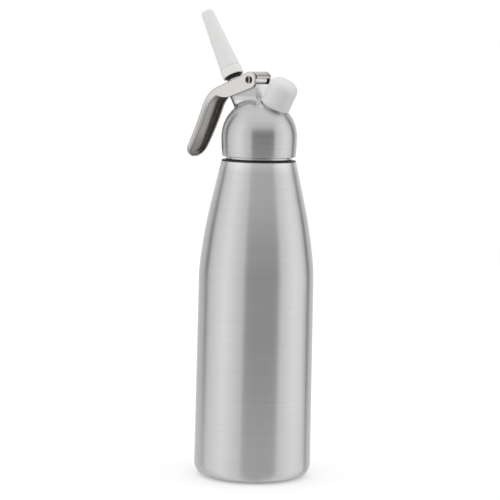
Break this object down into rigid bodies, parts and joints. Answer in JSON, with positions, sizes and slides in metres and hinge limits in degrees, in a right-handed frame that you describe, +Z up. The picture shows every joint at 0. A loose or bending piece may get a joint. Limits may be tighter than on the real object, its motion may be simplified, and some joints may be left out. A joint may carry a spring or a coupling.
{
  "type": "whipped cream dispenser",
  "caption": "Bottle-shaped pressure dispenser with a screwed head, squeeze lever, tilted valve with a tapered nozzle, and a capped charger port.",
  "frame": {"origin": "on the bottle's axis, in the plane it stands on", "axes": "+Z up along the bottle's axis, -X towards the lever and the nozzle, +X towards the charger port; XZ is the mirror plane"},
  "size_m": [0.1088, 0.089, 0.3544],
  "materials": {
    "bottle": "satin, turned, fine lines around the bottle",
    "head": "satin, turned, fine lines around the head",
    "lever": "polished sheet",
    "steel": "machined",
    "dark_steel": "blackened",
    "white_plastic": "smooth, slightly glossy",
    "silicone": "translucent white, dull",
    "seal_rubber": "dull black"
  },
  "bodies": {
    "bottle": {"bottle": "bottle"},
    "head": {"head_body": "head", "head_gasket": "silicone", "spring_seat": "steel", "valve_spring": "steel", "charger_port": "steel", "port_gasket": "seal_rubber", "charger_seal": "seal_rubber", "piercing_pin": "steel", "piercing_pin_oring": "seal_rubber", "non_return_valve": "seal_rubber"},
    "lever": {"lever": "lever", "pivot_pin": "dark_steel", "pivot_clip": "steel"},
    "valve": {"valve_stem": "steel", "stem_orings": "seal_rubber", "valve_seal": "silicone", "seal_nut": "steel", "thrust_washer": "steel", "nozzle_adapter": "dark_steel", "nozzle_seal": "seal_rubber"},
    "nozzle": {"nozzle": "white_plastic"},
    "cap": {"charger_cap": "white_plastic"}
  },
  "joints": [
    {"name": "head_lift", "type": "slide", "parent": "bottle", "child": "head", "axis": [0, 0, 1], "range_m": [0, 0.06]},
    {"name": "lever_press", "type": "hinge", "parent": "head", "child": "lever", "pos_m": [-0.0034, 0, 0.3018], "axis": [0, -1, 0], "range_deg": [0, 9.5], "stiffness_Nm_per_rad": 2, "springref_deg": -5.73},
    {"name": "valve_travel", "type": "slide", "parent": "head", "child": "valve", "axis": [0.4848, 0, -0.8746], "range_m": [0, 0.00276], "deforming": ["valve_spring"]},
    {"name": "nozzle_removal", "type": "slide", "parent": "valve", "child": "nozzle", "axis": [-0.4848, 0, 0.8746], "range_m": [0, 0.02]},
    {"name": "cap_removal", "type": "slide", "parent": "head", "child": "cap", "axis": [0.4848, 0, 0.8746], "range_m": [0, 0.02]}
  ],
  "couplings": [
    {"joint": "valve_travel", "follows": "lever_press", "m_per_rad": 0.016586}
  ]
}
